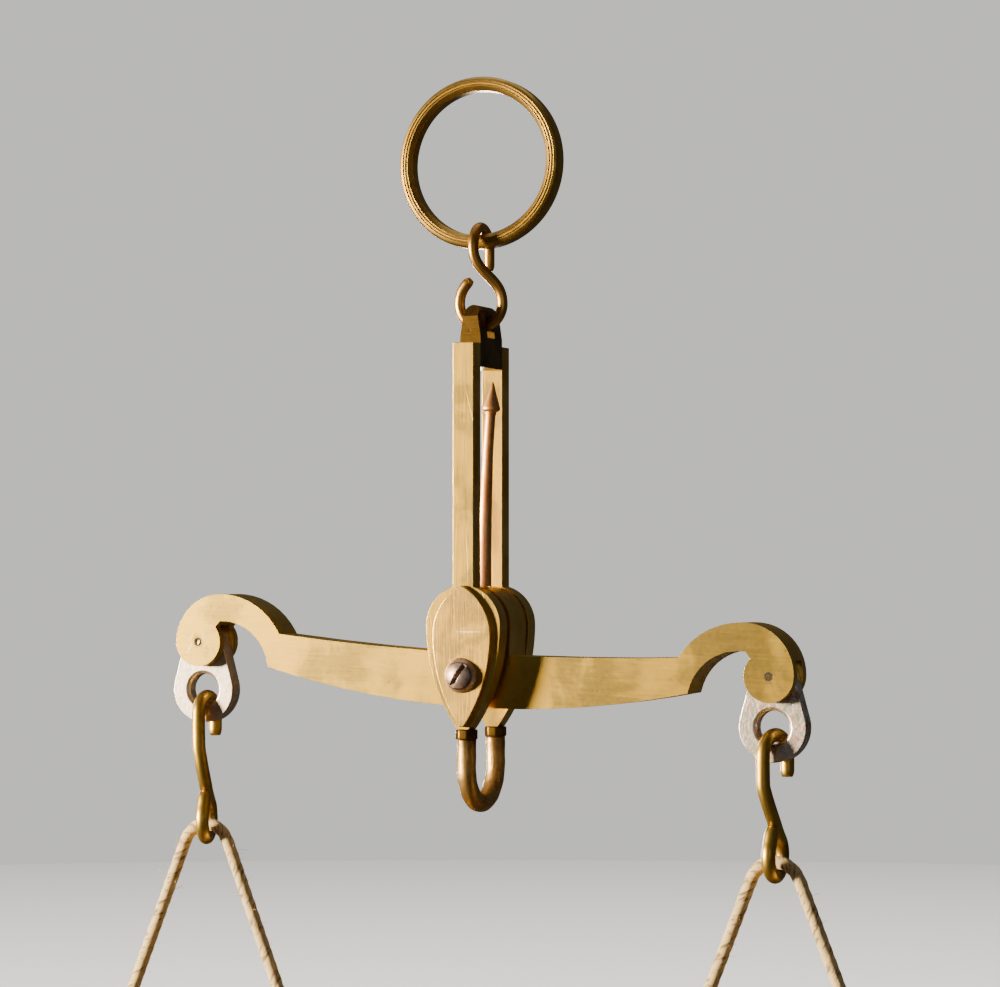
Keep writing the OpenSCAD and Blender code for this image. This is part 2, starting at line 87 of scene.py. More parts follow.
def addNode(tree, kind, settings=None, inputs=None):
    # settings go on the node itself; inputs are plain values, or sockets to link from
    node = tree.nodes.new(kind)
    for name, value in (settings or {}).items():
        setattr(node, name, value)
    for name, value in (inputs or {}).items():
        if isinstance(value, bpy.types.NodeSocket):
            tree.links.new(value, node.inputs[name])
        else:
            node.inputs[name].default_value = value
    return node


def placeCamera():
    turn = math.radians(studio["azimuth"])
    data = bpy.data.cameras.new("camera")
    data.lens = studio["lens"]
    data.sensor_width = studio["sensor"]
    camera = bpy.data.objects.new("camera", data)
    reach = studio["distance"] * mm
    camera.location = (reach * math.sin(turn), -reach * math.cos(turn), studio["height"] * mm)
    camera.rotation_euler = (math.radians(90 + studio["pitch"]), 0, turn + math.radians(studio["pan"]))
    bpy.context.scene.collection.objects.link(camera)
    bpy.context.scene.camera = camera


lamps = {  # where it stands, what it points at, its size in mm, watts, colour, and the floor's part in it
    "key": ((-644, -402, -35), (0, 0, -90), (128, 128), 30, "#ffeece", "lit"),  # low and soft, from the left
    "fill": ((560, -760, 40), (0, 0, -90), (300, 300), 0.3, "#ffffff", "lit"),  # weak, from the front right
    "top": ((-100, 200, 900), (0, 0, -100), (900, 900), 2.2, "#ffffff", "lit"),
    "back": ((-480, 800, -130), (0, 0, -90), (300, 120), 8, "#fff6ea", "left out"),
    "table lamp": ((0, 0, 1200), (0, 0, -200), (1500, 1500), 60, "#ffffff", "alone"),
}


def placeLight(name, where, aim, size, power, colour, floorPart):
    data = bpy.data.lights.new(name, "AREA")
    data.shape = "RECTANGLE"
    data.size, data.size_y = size[0] * mm, size[1] * mm
    data.energy = power
    data.color = linear(colour)[:3]
    light = bpy.data.objects.new(name, data)
    light.location = Vector(where) * mm
    light.visible_camera = False
    if floorPart != "lit":
        receivers = bpy.data.collections.new(name + " receivers")
        receivers.objects.link(bpy.data.objects["floor"])
        linking = receivers.collection_objects[0].light_linking
        linking.link_state = "INCLUDE" if floorPart == "alone" else "EXCLUDE"
        light.light_linking.receiver_collection = receivers
    light.rotation_euler = (Vector(aim) - Vector(where)).to_track_quat("-Z", "Y").to_euler()
    bpy.context.scene.collection.objects.link(light)


def layFloor():
    bm = bmesh.new()
    reach, sides = studio["floorReach"] * mm, studio["floorSides"]
    bmesh.ops.create_circle(bm, segments=sides, radius=reach, cap_ends=True)
    bmesh.ops.translate(bm, verts=bm.verts, vec=(0, 0, cadBox[0][2] - studio["floorDrop"] * mm))
    mesh = bpy.data.meshes.new("floor")
    bm.to_mesh(mesh)
    bm.free()
    floor = bpy.data.objects.new("floor", mesh)
    bpy.context.scene.collection.objects.link(floor)
    # seamless paper: matt, with a faint tooth
    material = bpy.data.materials.new("seamless paper")
    material.use_nodes = True
    tree = material.node_tree
    shader = tree.nodes["Principled BSDF"]
    place = addNode(tree, "ShaderNodeTexCoord").outputs["Object"]
    tooth = addNode(tree, "ShaderNodeTexNoise", {}, {"Vector": place, "Scale": studio["toothScale"]})
    shader.inputs["Base Color"].default_value = linear(studio["floorColour"])
    shader.inputs["Roughness"].default_value = 0.9
    bump = addNode(tree, "ShaderNodeBump", {}, {
        "Strength": 0.1, "Distance": studio["toothDepth"] * mm, "Height": tooth.outputs["Fac"]})
    tree.links.new(bump.outputs["Normal"], shader.inputs["Normal"])
    mesh.materials.append(material)
    floor.visible_glossy = floor.visible_diffuse = False  # the paper doesn't light the brass from below


def lightSky():
    world = bpy.data.worlds.new("studio")
    bpy.context.scene.world = world
    world.use_nodes = True
    tree = world.node_tree
    tree.nodes.clear()
    rays = addNode(tree, "ShaderNodeLightPath")
    room = addNode(tree, "ShaderNodeBackground", {}, {
        "Color": linear(studio["roomColour"]), "Strength": studio["roomStrength"]})
    paper = addNode(tree, "ShaderNodeBackground", {}, {
        "Color": linear(studio["paperColour"]), "Strength": 1.0})
    both = addNode(tree, "ShaderNodeMixShader", {}, {
        0: rays.outputs["Is Camera Ray"], 1: room.outputs[0], 2: paper.outputs[0]})
    addNode(tree, "ShaderNodeOutputWorld", {}, {"Surface": both.outputs[0]})


placeCamera()
layFloor()
lightSky()
for lamp, lampSettings in lamps.items():
    placeLight(lamp, *lampSettings)
print("stage: camera, floor and light")


# ---- shared ways of making ----
def unit(v):
    return v / v.length


def smoothLine(points, step):
    # a smooth curve through the points, then cut into even lengths
    cuts = 16
    ends = [points[0] * 2 - points[1]] + list(points) + [points[-1] * 2 - points[-2]]
    fine = []
    for i in range(1, len(ends) - 2):
        a, b, c, d = ends[i - 1], ends[i], ends[i + 1], ends[i + 2]
        for j in range(cuts):
            t = j / cuts
            fine.append(0.5 * (2 * b + (c - a) * t + (2 * a - 5 * b + 4 * c - d) * t * t
                               + (3 * b - a - 3 * c + d) * t * t * t))
    fine.append(points[-1].copy())
    return evenLine(fine, step)


def evenLine(fine, step):
    total = sum((q - p).length for p, q in zip(fine, fine[1:]))
    count = max(2, round(total / step))
    want, out, run = total / count, [fine[0].copy()], 0
    for p, q in zip(fine, fine[1:]):
        span = (q - p).length
        while len(out) < count and run + span >= want * len(out):
            out.append(p.lerp(q, (want * len(out) - run) / span))
        run += span
    out.append(fine[-1].copy())
    return out


def arcPoints(radius, middleZ, degrees):
    # (across, height) at each angle round a circle
    angles = [math.radians(a) for a in degrees]
    return [(radius * math.cos(a), middleZ + radius * math.sin(a)) for a in angles]


def easedBend(a, b, c, d):
    # leaves a towards b and comes into d from c
    steps = [(i / 10, 1 - i / 10) for i in range(1, 10)]
    return [a * q**3 + b * 3 * q * q * t + c * 3 * q * t * t + d * t**3 for t, q in steps]


def sweep(bm, points, radiusAt, sides, first, shapeAt=None, twistAt=None, shadeAndGrimeAt=None):
    # a tube made of circles along the points, each bridged to the last, in metres
    follow = bm.verts.layers.float_vector.get("follow") or bm.verts.layers.float_vector.new("follow")
    # share of painted shade with grime at each circle of the tube, darkest in crooks and where it meets other
    # parts
    shadeAndGrime = bm.verts.layers.float.get("shadeAndGrime") or bm.verts.layers.float.new("shadeAndGrime")
    normal, run, before = Vector(first), 0, None
    for i, p in enumerate(points):
        along = unit(points[min(i + 1, len(points) - 1)] - points[max(i - 1, 0)])
        normal = unit(normal - along * normal.dot(along))
        side = along.cross(normal)
        if i:
            run += (p - points[i - 1]).length
        turn = twistAt(run) if twistAt else 0
        facing = Matrix((normal, side, along)).transposed().to_4x4()
        place = Matrix.Translation(p) @ facing @ Matrix.Rotation(turn, 4, "Z")
        radius, isEnd = radiusAt(i), i in (0, len(points) - 1)
        made = bmesh.ops.create_circle(bm, segments=sides, radius=radius, cap_ends=isEnd)["verts"]
        for v in made:
            angle = math.atan2(v.co.y, v.co.x)
            if shapeAt:
                v.co *= shapeAt(angle, run)
            v[follow] = (radius * math.cos(angle), radius * math.sin(angle), run)
            v[shadeAndGrime] = shadeAndGrimeAt(i / (len(points) - 1)) if shadeAndGrimeAt else 0
        bmesh.ops.transform(bm, matrix=place, verts=made)
        loop = {e for v in made for e in v.link_edges}
        if before:
            bmesh.ops.bridge_loops(bm, edges=list(before | loop))
        before = loop


def turned(bm, profile, centre, axis, steps):
    # a closed outline of (radius, height) in mm, spun once about its axis
    verts = [bm.verts.new((r * mm, 0, h * mm)) for r, h in profile]
    edges = [bm.edges.new((verts[i], verts[(i + 1) % len(verts)])) for i in range(len(verts))]
    bmesh.ops.spin(bm, geom=verts + edges, cent=(0, 0, 0), axis=(0, 0, 1), angle=math.tau,
                   steps=steps, use_merge=True)
    bmesh.ops.remove_doubles(bm, verts=bm.verts, dist=1e-6)
    turn = Vector((0, 0, 1)).rotation_difference(Vector(axis)).to_matrix().to_4x4()
    bmesh.ops.transform(bm, matrix=Matrix.Translation(Vector(centre) * mm) @ turn, verts=bm.verts)


def wornEdges(bm, width, sharpest=28):
    # rounds the sharp edges a little and marks them as rubbed bright
    worn = bm.verts.layers.float.get("worn") or bm.verts.layers.float.new("worn")
    sharp = [e for e in bm.edges if len(e.link_faces) == 2 and e.calc_face_angle(0) > math.radians(sharpest)]
    made = bmesh.ops.bevel(bm, geom=sharp, offset=width * mm, offset_type="OFFSET", segments=2,
                           profile=0.5, affect="EDGES", clamp_overlap=True, material=-1)
    for f in made["faces"]:
        for v in f.verts:
            v[worn] = 1


def mergedCopy(node):
    # a CAD node's mesh as plain flat faces, ready to have its edges worn
    bm = bmesh.new()
    bm.from_mesh(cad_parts[node].data)
    bmesh.ops.remove_doubles(bm, verts=bm.verts, dist=2e-6)
    bmesh.ops.dissolve_limit(bm, angle_limit=math.radians(0.6), verts=bm.verts, edges=bm.edges)
    return bm


def finishPiece(name, bm, body, nodes, material, weighted=True):
    # the piece rides on its body, stands for its CAD nodes and takes its finish
    bmesh.ops.recalc_face_normals(bm, faces=bm.faces)
    for f in bm.faces:
        f.smooth = True
    mesh = bpy.data.meshes.new(name)
    bm.to_mesh(mesh)
    bm.free()
    piece = bpy.data.objects.new(name, mesh)
    bpy.context.scene.collection.objects.link(piece)
    mesh.materials.append(material)
    if weighted:
        mod = piece.modifiers.new("even shading", "WEIGHTED_NORMAL")
        mod.keep_sharp = False
    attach(piece, body)
    if nodes:
        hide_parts(*nodes)
    return piece


# ---- metals ----
wear = {  # shares of a noise from 0 to 1 unless they say otherwise
    "clouds": (0.45, 0.68),  # where tarnish begins and is full
    "furrows": (0.35, 0.65),
    "mottleScale": 1.6,  # blotches per mm
    "mottle": (0.42, 0.66),
    "pitted": (0.62, 0.7),  # keeps a third of the cells
    "pitSize": (0.06, 0.13),
    "scratched": (0.7, 0.9),  # keeps a few of the cells
    "scratchWidth": (0.1, 0.24),
    "scratchDepth": 2.5,  # mm that a scratch's cell runs into the metal
    "frayScale": 2.2,  # raggedness of the named marks, per mm
    "fray": 1.2,
    "markFade": (1.2, 1.6),
    "dull": (0.25, 1.25),
}
usualScratches = ((12, 34, 0.42), (-34, 26, 0.36))  # degrees about Y, length and width in mm
usualTarnish = 0.7
usualMottle = 0.3
usualScratchAmount = 0.35
usualEdgeAmount = 0.85
usualWave = 0.8


def metalGrain(tree, look, local):
    # tool marks: a noise drawn out the way that the metal was worked
    across, lengthwise = look["grain"]
    noise = {"Scale": 1.0, "Detail": 3.0, "Roughness": 0.65}
    if look["way"] == "round":
        # turning lines keep their distance from the axis and their height along it
        parts = addNode(tree, "ShaderNodeSeparateXYZ", {}, {0: local}).outputs
        flat = addNode(tree, "ShaderNodeCombineXYZ", {}, {0: parts[0], 1: parts[1]}).outputs[0]
        radius = addNode(tree, "ShaderNodeVectorMath", {"operation": "LENGTH"}, {0: flat}).outputs["Value"]
        rings = addNode(tree, "ShaderNodeCombineXYZ", {}, {0: radius, 1: parts[2], 2: parts[0]}).outputs[0]
        stretched = addNode(tree, "ShaderNodeMapping", {"vector_type": "TEXTURE"}, {
            "Vector": rings, "Scale": (across, across, lengthwise)}).outputs[0]
        along = addNode(tree, "ShaderNodeMath", {"operation": "DIVIDE"}, {
            0: parts[1], 1: lengthwise}).outputs[0]
        return addNode(tree, "ShaderNodeTexNoise", {"noise_dimensions": "4D"}, {
            "Vector": stretched, "W": along, **noise}).outputs["Fac"]
    source, sizes = local, [lengthwise if axis == look["way"] else across for axis in "xyz"]
    if look["way"] == "follow":  # drawn wire: the grain runs along it
        source = addNode(tree, "ShaderNodeAttribute", {"attribute_name": "follow"}).outputs["Vector"]
        sizes = [across * mm, across * mm, lengthwise * mm]
    stretched = addNode(tree, "ShaderNodeMapping", {"vector_type": "TEXTURE"}, {
        "Vector": source, "Scale": sizes}).outputs[0]
    return addNode(tree, "ShaderNodeTexNoise", {}, {"Vector": stretched, **noise}).outputs["Fac"]


def metalPits(tree, look, local):
    # pits and dark specks, in about a third of the cells
    cells = addNode(tree, "ShaderNodeTexVoronoi", {}, {"Vector": local, "Scale": 1 / look["speck"]}).outputs
    chosen = addNode(tree, "ShaderNodeSeparateColor", {}, {0: cells["Color"]}).outputs[0]
    low, high = wear["pitted"]
    kept = addNode(tree, "ShaderNodeMapRange", {}, {
        "Value": chosen, "From Min": low, "From Max": high, "To Max": look["speckAmount"]}).outputs[0]
    low, high = wear["pitSize"]
    dot = addNode(tree, "ShaderNodeMapRange", {}, {
        "Value": cells["Distance"], "From Min": low, "From Max": high,
        "To Min": 1.0, "To Max": 0.0}).outputs[0]
    return addNode(tree, "ShaderNodeMath", {"operation": "MULTIPLY"}, {0: dot, 1: kept}).outputs[0]


def metalScratches(tree, look, local):
    # straight scratches, tapering out: long thin cells, a few of them kept
    scratches = 0.0
    for angle, length, width in look.get("scratches", usualScratches):
        stretched = addNode(tree, "ShaderNodeMapping", {"vector_type": "TEXTURE"}, {
            "Vector": local, "Rotation": (0, math.radians(angle), 0),
            "Scale": (length, wear["scratchDepth"], width)}).outputs[0]
        cells = addNode(tree, "ShaderNodeTexVoronoi", {}, {"Vector": stretched, "Scale": 1.0}).outputs
        chosen = addNode(tree, "ShaderNodeSeparateColor", {}, {0: cells["Color"]}).outputs[1]
        low, high = wear["scratched"]
        kept = addNode(tree, "ShaderNodeMapRange", {}, {
            "Value": chosen, "From Min": low, "From Max": high}).outputs[0]
        low, high = wear["scratchWidth"]
        line = addNode(tree, "ShaderNodeMapRange", {}, {
            "Value": cells["Distance"], "From Min": low, "From Max": high,
            "To Min": 1.0, "To Max": 0.0}).outputs[0]
        scratch = addNode(tree, "ShaderNodeMath", {"operation": "MULTIPLY"}, {0: line, 1: kept}).outputs[0]
        scratches = addNode(tree, "ShaderNodeMath", {"operation": "MAXIMUM"}, {
            0: scratches, 1: scratch}).outputs[0]
    return scratches


def metalMarks(tree, look, place, local, colour):
    # marks at named places: where and half sizes in mm, lean about Y, tint, how strong
    frayed = addNode(tree, "ShaderNodeTexNoise", {}, {
        "Vector": local, "Scale": wear["frayScale"], "Detail": 3.0}).outputs["Fac"]
    low, high = wear["markFade"]
    for where, sizes, lean, tint, amount in look.get("marks", ()):
        away = addNode(tree, "ShaderNodeMapping", {"vector_type": "TEXTURE"}, {
            "Vector": place, "Location": [c * mm for c in where], "Rotation": (0, math.radians(lean), 0),
            "Scale": [c * mm for c in sizes]}).outputs[0]
        away = addNode(tree, "ShaderNodeVectorMath", {"operation": "LENGTH"}, {0: away}).outputs["Value"]
        ragged = addNode(tree, "ShaderNodeMath", {"operation": "MULTIPLY_ADD"}, {
            0: frayed, 1: wear["fray"], 2: away}).outputs[0]
        mark = addNode(tree, "ShaderNodeMapRange", {}, {
            "Value": ragged, "From Min": low, "From Max": high, "To Min": amount, "To Max": 0.0}).outputs[0]
        colour = addNode(tree, "ShaderNodeMix", {"data_type": "RGBA"}, {
            0: mark, 6: colour, 7: linear(tint)}).outputs[2]
    return colour


def workedMetal(name, look):
    # one recipe for every metal here: base colour, clouds of tarnish, grain, pits, scratches, rubbed edges
    material = bpy.data.materials.new(name)
    material.use_nodes = True
    tree = material.node_tree
    tree.nodes.clear()
    place = addNode(tree, "ShaderNodeTexCoord").outputs["Object"]
    local = addNode(tree, "ShaderNodeMapping", {"vector_type": "TEXTURE"}, {  # mm, turned with the piece
        "Vector": place, "Location": [c * mm for c in look.get("centre", (0, 0, 0))],
        "Rotation": [math.radians(a) for a in look.get("turn", (0, 0, 0))], "Scale": (mm, mm, mm)}).outputs[0]
    grain = metalGrain(tree, look, local)
    pit = metalPits(tree, look, local)
    scratches = metalScratches(tree, look, local)
    cloud = addNode(tree, "ShaderNodeTexNoise", {}, {
        "Vector": local, "Scale": 1 / look["cloud"],
        "Detail": 4.0, "Roughness": 0.6, "Distortion": 0.4}).outputs["Fac"]
    low, high = look.get("tarnishRange", wear["clouds"])
    tarnish = addNode(tree, "ShaderNodeMapRange", {}, {
        "Value": cloud, "From Min": low, "From Max": high,
        "To Max": look.get("tarnishAmount", usualTarnish)}).outputs[0]
    low, high = wear["furrows"]
    furrow = addNode(tree, "ShaderNodeMapRange", {}, {
        "Value": grain, "From Min": low, "From Max": high,
        "To Min": look["grainDark"], "To Max": 0.0}).outputs[0]
    mottle = addNode(tree, "ShaderNodeTexNoise", {}, {
        "Vector": local, "Scale": wear["mottleScale"], "Detail": 5.0, "Roughness": 0.75}).outputs["Fac"]
    low, high = wear["mottle"]
    dimmed = addNode(tree, "ShaderNodeMapRange", {}, {
        "Value": mottle, "From Min": low, "From Max": high, "To Max": usualMottle}).outputs[0]
    bright = addNode(tree, "ShaderNodeMath", {"operation": "MULTIPLY"}, {
        0: scratches, 1: look.get("scratchAmount", usualScratchAmount)}).outputs[0]
    colour = linear(look["colour"])
    for amount, tint in ((tarnish, "tarnish"), (furrow, "deep"), (dimmed, "tarnish"),
                         (pit, "deep"), (bright, "edge")):
        colour = addNode(tree, "ShaderNodeMix", {"data_type": "RGBA"}, {
            0: amount, 6: colour, 7: linear(look[tint])}).outputs[2]
    colour = metalMarks(tree, look, place, local, colour)

    # painted shade with brown grime in the crooks and where parts meet, metal rubbed bright on the edges,
    # both broken up by the clouds
    shadeAndGrime = addNode(tree, "ShaderNodeAttribute", {"attribute_name": "shadeAndGrime"}).outputs["Fac"]
    patchy = addNode(tree, "ShaderNodeMapRange", {}, {
        "Value": cloud, "From Min": 0.3, "From Max": 0.6, "To Min": 0.55, "To Max": 1.0}).outputs[0]
    shadedAndGrimed = addNode(tree, "ShaderNodeMath", {"operation": "MULTIPLY"}, {0: shadeAndGrime, 1: patchy}).outputs[0]
    worn = addNode(tree, "ShaderNodeAttribute", {"attribute_name": "worn"}).outputs["Fac"]
    broken = addNode(tree, "ShaderNodeMapRange", {}, {
        "Value": cloud, "From Min": 0.35, "From Max": 0.6,
        "To Min": look.get("edgeAmount", usualEdgeAmount), "To Max": 0.25}).outputs[0]
    rubbed = addNode(tree, "ShaderNodeMath", {"operation": "MULTIPLY"}, {0: worn, 1: broken}).outputs[0]
    for amount, tint in ((shadedAndGrimed, "deep"), (rubbed, "edge")):
        colour = addNode(tree, "ShaderNodeMix", {"data_type": "RGBA"}, {
            0: amount, 6: colour, 7: linear(look[tint])}).outputs[2]

    # tarnish, grain and mottle dull the metal; rubbing polishes it
    dull = tarnish
    for source in (grain, mottle):
        dull = addNode(tree, "ShaderNodeMath", {"operation": "MULTIPLY_ADD"}, {
            0: source, 1: 0.5, 2: dull}).outputs[0]
    low, high = wear["dull"]
    smooth, rough = look["roughness"]
    roughness = addNode(tree, "ShaderNodeMapRange", {}, {
        "Value": dull, "From Min": low, "From Max": high, "To Min": smooth, "To Max": rough}).outputs[0]
    roughness = addNode(tree, "ShaderNodeMath", {"operation": "MULTIPLY_ADD"}, {
        0: rubbed, 1: -0.1, 2: roughness}).outputs[0]
    height = grain
    for source, share in ((cloud, look.get("wave", usualWave)), (scratches, -0.5), (pit, -0.8)):
        height = addNode(tree, "ShaderNodeMath", {"operation": "MULTIPLY_ADD"}, {
            0: source, 1: share, 2: height}).outputs[0]
    bump = addNode(tree, "ShaderNodeBump", {}, {
        "Strength": 1.0, "Distance": look["bump"] * mm, "Height": height}).outputs[0]
    shader = addNode(tree, "ShaderNodeBsdfPrincipled", {}, {
        "Metallic": 1.0, "Base Color": colour, "Roughness": roughness, "Normal": bump})
    addNode(tree, "ShaderNodeOutputMaterial", {}, {"Surface": shader.outputs[0]})
    return material


# each look has its grain's width and length, clouds, specks and bump in mm, and roughness from bright to dull
# cast and filed yellow brass: pale gold, dull from handling, brushed along the beam
beamBrass = workedMetal("yellow brass, filed lengthwise", {
    "colour": "#d9af34", "tarnish": "#b58b26", "deep": "#73551c", "edge": "#f4cf70",
    "way": "x", "turn": (0, 2.7, 0), "grain": (0.34, 9), "cloud": 11, "speck": 2.4, "speckAmount": 0.45,
    "roughness": (0.34, 0.5), "bump": 0.012, "grainDark": 0.1,
    "marks": [((-50.0, -3.4, -90.0), (1.1, 2, 1.1), 0, "#4a3512", 0.8),  # oil and scrapes round the pins
              ((-51.2, -3.4, -89.2), (0.2, 2, 1.0), 24, "#ffe7a6", 0.9),
              ((-49.0, -3.4, -89.2), (0.18, 2, 0.8), -16, "#ffe7a6", 0.9),
              ((-51.5, -3.4, -91.0), (0.22, 2, 1.2), 28, "#fbdf98", 0.8),
              ((-48.8, -3.4, -90.8), (0.16, 2, 0.6), 30, "#fbdf98", 0.7),
              ((49.9, -3.4, -94.8), (0.95, 2, 1.0), 0, "#8d7c56", 0.45)]})
# the same brass filed upright on the cheeks: fine upright lines, a little deeper in colour
cheekBrass = workedMetal("yellow brass, filed upright", {
    "colour": "#d5a834", "tarnish": "#ae8326", "deep": "#6f501a", "edge": "#f4cf70",
    "way": "z", "grain": (0.36, 8), "cloud": 10, "speck": 2.8, "speckAmount": 0.35,
    "roughness": (0.34, 0.5), "bump": 0.014, "grainDark": 0.14,
    "scratches": ((88, 30, 0.4), (76, 20, 0.36)), "scratchAmount": 0.2})
# rolled brass plate: a little warmer, with fine upright lines
coverBrass = workedMetal("brass plate, rubbed upright", {
    "colour": "#d5a43a", "tarnish": "#b07a28", "deep": "#6c4a1c", "edge": "#f2ca74",
    "way": "z", "grain": (0.3, 6), "cloud": 6, "speck": 2.2, "speckAmount": 0.35,
    "roughness": (0.36, 0.52), "bump": 0.02, "grainDark": 0.16, "scratches": ((86, 26, 0.4), (4, 18, 0.36)),
    "marks": [((1.5, -8.4, -88.0), (3.0, 2, 0.16), 0, "#ffe9b4", 0.95),
              ((-1.1, -8.4, -82.6), (0.45, 2, 0.14), 20, "#ffe2a0", 0.9),
              ((0.7, -8.4, -82.9), (0.12, 2, 0.5), 0, "#ffe2a0", 0.9),
              ((-2.4, -8.4, -86.5), (1.6, 2, 2.4), 0, "#b8782e", 0.35)]})
# filed brass block, left to go dark: short level file strokes
archBrass = workedMetal("brass block, filed level", {
    "colour": "#3f2b10", "tarnish": "#31200a", "deep": "#231607", "edge": "#83632c",
    "way": "x", "grain": (0.3, 5), "cloud": 5, "speck": 2, "speckAmount": 0.4,
    "roughness": (0.36, 0.54), "bump": 0.03, "grainDark": 0.5, "scratches": ((2, 20, 0.4), (-8, 16, 0.4))})
# turned ring: warm brass with lines running round it
ringBrass = workedMetal("turned brass, warm and polished by handling", {
    "colour": "#bf9a46", "tarnish": "#9b7127", "deep": "#654618", "edge": "#d2aa5a",
    "way": "round", "centre": (0, 0, -11.75), "turn": (90, 0, 0), "grain": (0.34, 26), "cloud": 6,
    "speck": 1.9, "speckAmount": 0.55, "roughness": (0.4, 0.54), "bump": 0.035, "grainDark": 0.4,
    "marks": [((13.9, -1.3, -8.5), (0.35, 2, 0.5), 0, "#160d04", 0.95),
              ((8.6, -1.7, -2.7), (0.6, 2, 0.25), 40, "#6a3c14", 0.8),
              ((10.7, -1.7, -4.4), (0.4, 2, 0.25), 50, "#6a3c14", 0.8),
              ((-11.8, 0, -13.9), (0.5, 2, 0.4), 0, "#f0bd70", 0.9),
              ((-11.8, 0, -14.9), (0.5, 2, 0.3), 0, "#3e230a", 0.9),
              ((-11.3, 0, -16.6), (0.5, 2, 0.8), 20, "#4a2a0c", 0.8),
              ((-10.2, -1.5, -19.5), (0.9, 2, 0.35), -50, "#5c3510", 0.7)]})
# drawn bronze wire of the S-hook, burnished where it rubs
bronzeWire = workedMetal("drawn bronze wire, burnished", {
    "colour": "#daa859", "tarnish": "#ab7434", "deep": "#5c3816", "edge": "#ecbe70",
    "way": "follow", "grain": (0.3, 7), "cloud": 5, "speck": 1.8, "speckAmount": 0.3,
    "roughness": (0.32, 0.46), "bump": 0.015, "grainDark": 0.3})
# drawn brass wire of the pan hooks, with painted shade and brown grime where it hangs in the shackle and
# where the cord runs
hookBrass = workedMetal("drawn brass wire, polished and browned", {
    "colour": "#ddb858", "tarnish": "#b08a3e", "deep": "#6e5824", "edge": "#f0d080",
    "way": "follow", "grain": (0.3, 8), "cloud": 5, "speck": 1.7, "speckAmount": 0.4,
    "roughness": (0.34, 0.48), "bump": 0.015, "grainDark": 0.3})
# brown bronze rod of the stirrup, with tool marks
bowBronze = workedMetal("bronze rod, hammered and browned", {
    "colour": "#e6bb72", "tarnish": "#b0854c", "deep": "#5a401f", "edge": "#ecc78a",
    "way": "follow", "grain": (0.6, 5), "cloud": 2.6, "speck": 2, "speckAmount": 0.4,
    "roughness": (0.36, 0.52), "bump": 0.06, "grainDark": 0.4, "wave": 1.6})
# copper-brown pointer rod, dull and dusty
pointerCopper = workedMetal("brazed copper rod, oxidised brown", {
    "colour": "#fcc084", "tarnish": "#dc935c", "deep": "#8f5c34", "edge": "#f4c290",
    "way": "z", "grain": (0.3, 4), "cloud": 3, "speck": 1.2, "speckAmount": 0.5,
    "roughness": (0.38, 0.55), "bump": 0.03, "grainDark": 0.35})
# bare iron shackles: the left one smooth and pinkish grey, the right one rubbed pale with brown streaks
shackleSteel = {
    "left": workedMetal("wrought iron, smooth and pinkish grey", {
        "colour": "#e6d0bd", "tarnish": "#b48f7c", "deep": "#6d4c3e", "edge": "#f6eadc",
        "way": "none", "grain": (0.8, 0.8), "cloud": 2.4, "tarnishRange": (0.5, 0.7), "speck": 1.6,
        "speckAmount": 0.4, "roughness": (0.42, 0.58), "bump": 0.03, "grainDark": 0.15, "wave": 1.4}),
    "right": workedMetal("wrought iron, rubbed pale with rust streaks", {
        "colour": "#fff4e6", "tarnish": "#a06a54", "deep": "#7a4f40", "edge": "#fffaf2",
        "edgeAmount": 0.7, "tarnishAmount": 1.0,
        "way": "none", "grain": (0.7, 0.7), "cloud": 1.7, "tarnishRange": (0.5, 0.6), "speck": 1.4,
        "speckAmount": 0.7, "roughness": (0.4, 0.54), "bump": 0.05, "grainDark": 0.3, "wave": 1.4}),
}
# steel screws, pinkish grey in the middle and brown at the rim
screwSteel = workedMetal("steel screw, browned at the rim", {
    "colour": "#dac6ba", "tarnish": "#ac8878", "deep": "#4a2418", "edge": "#c0a99c", "edgeAmount": 0.3,
    "way": "none", "grain": (0.7, 0.7), "cloud": 2.4, "speck": 1.3, "speckAmount": 0.35,
    "roughness": (0.42, 0.56), "bump": 0.03, "grainDark": 0.3, "wave": 1.3})
# hard steel of the knife and bushes: grey, with the grinding wheel's fine lines
toolSteel = workedMetal("hardened steel, ground", {
    "colour": "#98938c", "tarnish": "#6f665e", "deep": "#3d352f", "edge": "#cfcac4",
    "way": "y", "grain": (0.3, 4), "cloud": 2, "speck": 1.5, "speckAmount": 0.3,
    "roughness": (0.28, 0.45), "bump": 0.015, "grainDark": 0.3})
# pin ends, dark with old oil; the left one is scraped to bright metal in the middle
pinSteel = workedMetal("steel pin, oiled and dark", {
    "colour": "#6f6252", "tarnish": "#4d3f30", "deep": "#1d150c", "edge": "#a89a84",
    "way": "none", "grain": (0.3, 0.3), "cloud": 1.5, "speck": 1, "speckAmount": 0.4,
    "roughness": (0.34, 0.5), "bump": 0.03, "grainDark": 0.5, "scratches": (),
    "marks": [((-50.0, -3.4, -90.04), (0.9, 1, 0.9), 0, "#1d140a", 0.9),
              ((-49.9, -3.4, -90.15), (0.24, 1, 0.5), 18, "#f0d28c", 0.95)]})
print("stage: metals")


def panBrass(name, centre):
    # spun sheet brass: rings left by the spinning tool
    return workedMetal(name, {
        "colour": "#c8962e", "tarnish": "#9c6f20", "deep": "#5f4214", "edge": "#ecc262",
        "way": "round", "centre": centre, "grain": (0.6, 60), "cloud": 16, "speck": 4, "speckAmount": 0.35,
        "roughness": (0.28, 0.44), "bump": 0.03, "grainDark": 0.35, "wave": 2.5})


